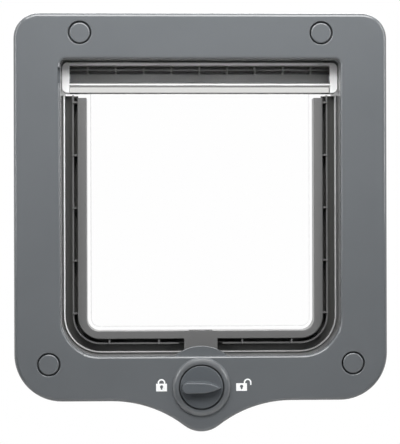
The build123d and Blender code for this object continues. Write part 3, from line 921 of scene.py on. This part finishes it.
@dataclass(frozen=True)
class Softbox:
    """One rectangular studio lamp, aimed at a point. It shows in reflections, and not to the camera."""

    name: str
    place: tuple[float, float, float]
    width: float
    height: float
    watts: float
    aim: tuple[float, float, float] = (0.0, 0.0, 0.0)

    def build(self) -> None:
        """Add the lamp to the scene."""
        lamp = bpy.data.lights.new(self.name, "AREA")
        lamp.shape = "RECTANGLE"
        lamp.size = self.width
        lamp.size_y = self.height
        lamp.energy = self.watts
        stand = bpy.data.objects.new(self.name, lamp)
        stand.location = self.place
        aim = Vector(self.aim) - Vector(self.place)
        stand.rotation_euler = aim.to_track_quat("-Z", "Y").to_euler()
        stand.visible_camera = False
        bpy.context.scene.collection.objects.link(stand)


@dataclass
class Studio:
    """White room with a pale floor well below the part, which hangs as it would in a door. Sizes are metres.

    A dark cloth hangs behind the camera, as in a studio, so that what faces the camera mirrors no white wall.
    It shows in reflections only.
    """

    ambient: float = 0.01
    floor_drop: float = 0.4
    floor_radius: float = 0.9
    floor_fade: tuple[float, float] = (0.5, 0.98)
    floor_rings: int = 4
    floor_angles: int = 64
    floor_colour: str = "#f1f1f0"
    floor_glow: float = 0.8
    cloth_distance: float = 1.0
    cloth_half_width: float = 2.2
    cloth_points: int = 5
    cloth_colour: str = "#2c2c2d"
    lamps: tuple[Softbox, ...] = (
        Softbox(
            "overhead_softbox", place=(0.0, -0.32, 0.28), width=0.42, height=0.42, watts=4.1,
            aim=(0.0, -0.32, 0.0),
        ),
        Softbox("rear_softbox", place=(0.0, 0.7, 0.48), width=0.8, height=0.3, watts=5.0),
        Softbox("left_strip", place=(-0.54, -0.42, 0.2), width=0.06, height=0.5, watts=1.45),
        Softbox("right_strip", place=(0.54, -0.42, 0.24), width=0.06, height=0.5, watts=1.9),
    )

    def light_world(self) -> None:
        """White to the camera, in reflections and through clear plastic, and a plain level on the object.

        Light that has met a dull surface sees the plain level, also where it then passes the clear flap.
        """
        world = bpy.data.worlds.new("white_room")
        bpy.context.scene.world = world
        world.use_nodes = True
        tree = world.node_tree
        tree.nodes.clear()
        ray = add_node(tree, "ShaderNodeLightPath").outputs
        through = add_node(
            tree, "ShaderNodeMath", {"operation": "MAXIMUM"},
            {0: ray["Is Camera Ray"], 1: ray["Is Transmission Ray"]},
        ).outputs["Value"]
        seen = add_node(
            tree, "ShaderNodeMath", {"operation": "MAXIMUM"}, {0: through, 1: ray["Is Glossy Ray"]},
        ).outputs["Value"]
        # No dull surface on the ray's way so far
        direct = add_node(
            tree, "ShaderNodeMath", {"operation": "LESS_THAN", 1: 1.0}, {0: ray["Diffuse Depth"]},
        ).outputs["Value"]
        shown = add_node(
            tree, "ShaderNodeMath", {"operation": "MULTIPLY"}, {0: seen, 1: direct},
        ).outputs["Value"]
        level = add_node(
            tree, "ShaderNodeMapRange", {"To Min": self.ambient, "To Max": 1.0}, {"Value": shown},
        ).outputs["Result"]
        sky = add_node(tree, "ShaderNodeBackground", {"Color": linear(WHITE)}, {"Strength": level})
        add_node(tree, "ShaderNodeOutputWorld", links={"Surface": sky.outputs["Background"]})

    def floor_material(self) -> bpy.types.Material:
        """Matt paper that stays pale to the camera, keeps a part of the shadow and fades out at its rim.

        Returns:
            The floor's material.
        """
        material, tree = new_material("pale_paper")
        paper = add_node(tree, "ShaderNodeBsdfDiffuse", {"Color": linear(self.floor_colour)})
        glow = add_node(tree, "ShaderNodeEmission", {"Color": linear(self.floor_colour)})
        camera_ray = add_node(tree, "ShaderNodeLightPath").outputs["Is Camera Ray"]
        pale = add_node(
            tree, "ShaderNodeMath", {"operation": "MULTIPLY", 1: self.floor_glow}, {0: camera_ray},
        ).outputs["Value"]
        seen = add_node(
            tree, "ShaderNodeMixShader",
            links={"Fac": pale, 1: paper.outputs["BSDF"], 2: glow.outputs["Emission"]},
        )
        place = add_node(tree, "ShaderNodeTexCoord").outputs["Object"]
        reach = add_node(tree, "ShaderNodeVectorMath", {"operation": "LENGTH"}, {0: place}).outputs["Value"]
        start, end = self.floor_fade
        fade = add_node(
            tree, "ShaderNodeMapRange",
            {"From Min": self.floor_radius * start, "From Max": self.floor_radius * end}, {"Value": reach},
        ).outputs["Result"]
        nothing = add_node(tree, "ShaderNodeBsdfTransparent")
        floor = add_node(
            tree, "ShaderNodeMixShader",
            links={"Fac": fade, 1: seen.outputs["Shader"], 2: nothing.outputs["BSDF"]},
        )
        add_node(tree, "ShaderNodeOutputMaterial", links={"Surface": floor.outputs["Shader"]})
        return material

    def build_floor(self) -> None:
        """Lay a round floor: rings of points about its middle, out to its radius."""
        angle = np.linspace(0, 2 * math.pi, self.floor_angles, endpoint=False)
        radius = np.linspace(0, self.floor_radius / MM, self.floor_rings)[:, None]
        x = radius * np.cos(angle)
        y = radius * np.sin(angle)
        points = np.stack([x, y, np.full_like(x, -self.floor_drop / MM)], axis=-1)
        floor = new_piece("floor", points, grid_faces(*x.shape, wrap=True), self.floor_material())

    def hang_cloth(self) -> None:
        """Hang the dark cloth: a flat grid of points across the room, behind the camera."""
        material, tree = new_material("dark_cloth")
        weave = add_node(tree, "ShaderNodeBsdfDiffuse", {"Color": linear(self.cloth_colour)})
        add_node(tree, "ShaderNodeOutputMaterial", links={"Surface": weave.outputs["BSDF"]})
        reach = np.linspace(-self.cloth_half_width, self.cloth_half_width, self.cloth_points) / MM
        x, z = np.meshgrid(reach, reach)
        points = np.stack([x, np.full_like(x, -self.cloth_distance / MM), z], axis=-1)
        cloth = new_piece("dark_cloth", points, grid_faces(*x.shape, wrap=False), material)
        for ray in ("camera", "diffuse", "transmission", "shadow"):
            setattr(cloth, f"visible_{ray}", False)

    def build(self) -> None:
        """Set up the world, the floor, the dark cloth and the lamps."""
        self.light_world()
        self.build_floor()
        self.hang_cloth()
        for lamp in self.lamps:
            lamp.build()


@dataclass
class PhotoCamera:
    """Camera of the photograph: almost square on, a little to the left, with a long lens."""

    eye: tuple[float, float, float] = (-21.5, -709.5, -7.7)
    yaw: float = 1.71
    roll: float = -0.155
    focal_pixels: float = 1329.0
    sensor_width: float = 36.0
    nearest: float = 10.0

    def build(self) -> None:
        """Make the camera, level and turned by the yaw about the vertical and the roll about its own axis."""
        camera = bpy.data.cameras.new("photo_camera")
        camera.sensor_fit = "HORIZONTAL"
        camera.sensor_width = self.sensor_width
        camera.lens = self.sensor_width * self.focal_pixels / PHOTO_WIDTH
        camera.clip_start = self.nearest * MM
        stand = bpy.data.objects.new("photo_camera", camera)
        turn = Matrix.Rotation(-math.radians(self.yaw), 4, "Z")
        level = Matrix.Rotation(math.pi / 2, 4, "X")
        tilt = Matrix.Rotation(math.radians(self.roll), 4, "Z")
        stand.matrix_world = Matrix.Translation(Vector(self.eye) * MM) @ turn @ level @ tilt
        bpy.context.scene.collection.objects.link(stand)
        bpy.context.scene.camera = stand


def main() -> None:
    """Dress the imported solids, add the screws and signs, and set up the studio and the camera."""
    logging.basicConfig(level=logging.INFO)
    bpy.context.scene.view_settings.view_transform = "Standard"
    steel = ZINC_STEEL.material()
    frames = FrameSet(steel)
    frames.build()
    frames.dress()
    FlapSet().dress()
    lock = LockSet(steel)
    lock.build_signs()
    lock.build_screws()
    lock.dress()
    Studio().build()
    PhotoCamera().build()


if __name__ == "__main__":
    main()
